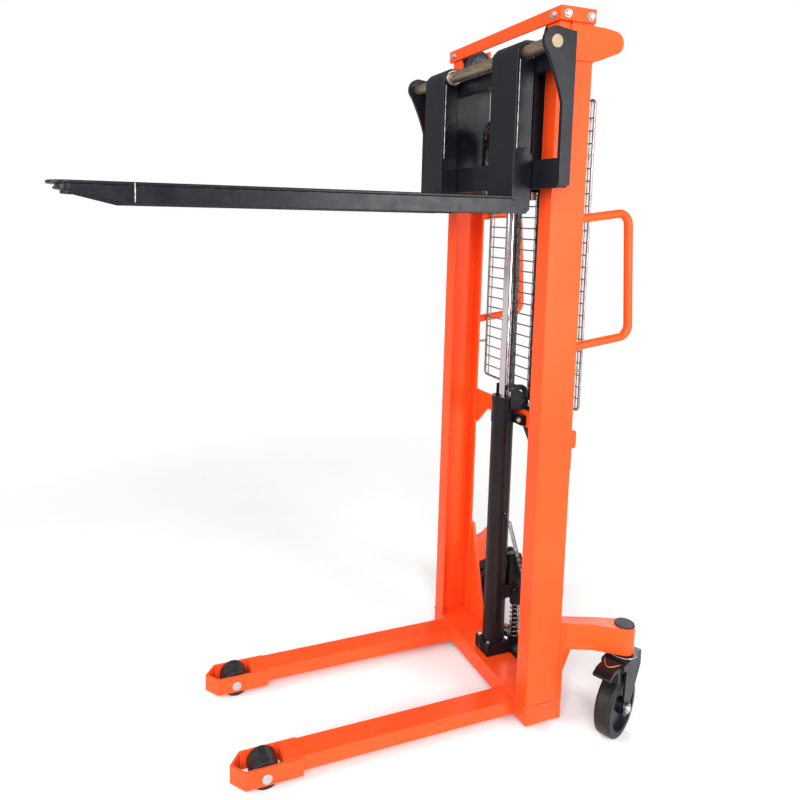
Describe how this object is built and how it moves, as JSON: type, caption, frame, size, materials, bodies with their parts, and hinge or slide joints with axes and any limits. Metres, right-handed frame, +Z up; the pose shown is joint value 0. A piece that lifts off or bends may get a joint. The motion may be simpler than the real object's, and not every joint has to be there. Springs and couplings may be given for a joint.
{
  "type": "manual hydraulic stacker",
  "caption": "Hand operated hydraulic stacker with twin channel mast, chain lifted fork carriage, straddling legs, swivel casters and foot pump.",
  "frame": {"origin": "middle of the flat underside of the cross box under the mast, 26 mm above the floor the wheels stand on", "axes": "+Z up; the forks and legs point to -Y and the operator stands on the +Y side; +X is on the right when looking along +Y"},
  "size_m": [0.8464, 1.6195, 2.08],
  "materials": {
    "orange_paint": "gloss",
    "black_paint": "satin",
    "zinc": "satin",
    "steel": "satin",
    "chrome_rod": "polished",
    "bare_steel": "satin",
    "tyre_rubber": "matte",
    "pad_rubber": "matte",
    "roller_plastic": "satin",
    "cap_plastic": "matte"
  },
  "bodies": {
    "frame": {"base_frame": "orange_paint", "mast_left": "orange_paint", "mast_right": "orange_paint", "leg_left": "orange_paint", "leg_right": "orange_paint", "caster_arm_left": "orange_paint", "caster_arm_right": "orange_paint", "top_beam": "orange_paint", "mast_ears": "orange_paint", "rear_ties": "orange_paint", "frame_bolts": "zinc", "grab_handle_left": "orange_paint", "grab_handle_right": "orange_paint", "mesh_guard": "zinc", "oil_hose": "pad_rubber", "caster_caps": "cap_plastic", "load_roller_axles": "zinc", "cylinder_tube": "black_paint", "cylinder_gland": "black_paint", "cylinder_clamp": "black_paint", "chain_bracket": "black_paint", "pump_body": "black_paint", "pump_spring": "zinc", "return_spring": "zinc", "rear_chains": "steel", "rocker_pin": "zinc"},
    "ram": {"piston_rod": "chrome_rod", "piston": "steel", "crosshead": "black_paint", "sheave_chains": "steel"},
    "sheaves": {"sheaves": "steel"},
    "carriage": {"carriage_frame": "black_paint", "fork_shaft": "bare_steel", "shaft_collars": "zinc", "roller_studs": "steel", "chain_anchors": "zinc", "guide_pads": "steel", "front_chains": "steel"},
    "roller_upper_left": {"roller_upper_left": "steel"},
    "roller_upper_right": {"roller_upper_right": "steel"},
    "roller_lower_left": {"roller_lower_left": "steel"},
    "roller_lower_right": {"roller_lower_right": "steel"},
    "fork_left": {"fork_left": "black_paint"},
    "fork_right": {"fork_right": "black_paint"},
    "load_roller_left": {"load_roller_left": "roller_plastic"},
    "load_roller_right": {"load_roller_right": "roller_plastic"},
    "caster_left": {"caster_fork_left": "black_paint", "caster_axle_left": "zinc"},
    "caster_wheel_left": {"caster_hub_left": "black_paint", "caster_tyre_left": "tyre_rubber"},
    "brake_left": {"brake_pedal_left": "black_paint"},
    "caster_right": {"caster_fork_right": "black_paint", "caster_axle_right": "zinc"},
    "caster_wheel_right": {"caster_hub_right": "black_paint", "caster_tyre_right": "tyre_rubber"},
    "brake_right": {"brake_pedal_right": "black_paint"},
    "foot_lever": {"pump_rocker": "black_paint", "pedal_pad": "pad_rubber"},
    "plunger": {"pump_plunger": "steel"},
    "release": {"release_lever": "black_paint"}
  },
  "joints": [
    {"name": "lift_rod", "type": "slide", "parent": "frame", "child": "ram", "axis": [0, 0, 1], "range_m": [-0.7445, 0], "deforming": ["rear_chains"]},
    {"name": "carriage_lift", "type": "slide", "parent": "ram", "child": "carriage", "axis": [0, 0, 1], "range_m": [-0.7445, 0], "deforming": ["front_chains"]},
    {"name": "sheave_turn", "type": "hinge", "parent": "ram", "child": "sheaves", "pos_m": [0, 0.01, 1.744], "axis": [1, 0, 0], "range_deg": [-1, 658]},
    {"name": "roller_upper_left_turn", "type": "hinge", "parent": "carriage", "child": "roller_upper_left", "pos_m": [-0.255, 0, 1.999], "axis": [1, 0, 0], "range_deg": [-1817, 1]},
    {"name": "roller_upper_right_turn", "type": "hinge", "parent": "carriage", "child": "roller_upper_right", "pos_m": [0.255, 0, 1.999], "axis": [1, 0, 0], "range_deg": [-1817, 1]},
    {"name": "roller_lower_left_turn", "type": "hinge", "parent": "carriage", "child": "roller_lower_left", "pos_m": [-0.255, 0, 1.616], "axis": [1, 0, 0], "range_deg": [-1, 1817]},
    {"name": "roller_lower_right_turn", "type": "hinge", "parent": "carriage", "child": "roller_lower_right", "pos_m": [0.255, 0, 1.616], "axis": [1, 0, 0], "range_deg": [-1, 1817]},
    {"name": "fork_left_shift", "type": "slide", "parent": "carriage", "child": "fork_left", "axis": [-1, 0, 0], "range_m": [0, 0.1]},
    {"name": "fork_right_shift", "type": "slide", "parent": "carriage", "child": "fork_right", "axis": [1, 0, 0], "range_m": [0, 0.1]},
    {"name": "load_roller_left_spin", "type": "hinge", "parent": "frame", "child": "load_roller_left", "pos_m": [-0.1995, -0.821, 0.014], "axis": [1, 0, 0], "continuous": true},
    {"name": "load_roller_right_spin", "type": "hinge", "parent": "frame", "child": "load_roller_right", "pos_m": [0.1995, -0.821, 0.014], "axis": [1, 0, 0], "continuous": true},
    {"name": "caster_left_swivel", "type": "hinge", "parent": "frame", "child": "caster_left", "pos_m": [-0.357, 0.234, 0.234], "axis": [0, 0, 1], "continuous": true},
    {"name": "caster_wheel_left_spin", "type": "hinge", "parent": "caster_left", "child": "caster_wheel_left", "pos_m": [-0.3511, 0.20052, 0.069], "axis": [0.9848, 0.1736, 0], "continuous": true},
    {"name": "brake_left_press", "type": "hinge", "parent": "caster_left", "child": "brake_left", "pos_m": [-0.34658, 0.17491, 0.206], "axis": [0.9848, 0.1736, 0], "range_deg": [0, 8]},
    {"name": "caster_right_swivel", "type": "hinge", "parent": "frame", "child": "caster_right", "pos_m": [0.357, 0.234, 0.234], "axis": [0, 0, 1], "continuous": true},
    {"name": "caster_wheel_right_spin", "type": "hinge", "parent": "caster_right", "child": "caster_wheel_right", "pos_m": [0.3719, 0.20344, 0.069], "axis": [0.8988, 0.4384, 0], "continuous": true},
    {"name": "brake_right_press", "type": "hinge", "parent": "caster_right", "child": "brake_right", "pos_m": [0.3833, 0.18007, 0.206], "axis": [0.8988, 0.4384, 0], "range_deg": [0, 8]},
    {"name": "foot_lever_stroke", "type": "hinge", "parent": "frame", "child": "foot_lever", "pos_m": [0, 0.062, 0.274], "axis": [1, 0, 0], "range_deg": [-22, 0], "deforming": ["return_spring"]},
    {"name": "plunger_stroke", "type": "slide", "parent": "frame", "child": "plunger", "axis": [0, 0, 1], "range_m": [-0.0116, 0], "deforming": ["pump_spring"]},
    {"name": "release_press", "type": "hinge", "parent": "frame", "child": "release", "pos_m": [-0.056, 0.129, 0.082], "axis": [1, 0, 0], "range_deg": [-12, 0]}
  ],
  "couplings": [
    {"joint": "carriage_lift", "follows": "lift_rod", "ratio": 1},
    {"joint": "sheave_turn", "follows": "lift_rod", "rad_per_m": -15.385},
    {"joint": "roller_upper_left_turn", "follows": "lift_rod", "rad_per_m": 42.553},
    {"joint": "roller_upper_right_turn", "follows": "lift_rod", "rad_per_m": 42.553},
    {"joint": "roller_lower_left_turn", "follows": "lift_rod", "rad_per_m": -42.553},
    {"joint": "roller_lower_right_turn", "follows": "lift_rod", "rad_per_m": -42.553},
    {"joint": "plunger_stroke", "follows": "foot_lever_stroke", "m_per_rad": 0.03}
  ]
}
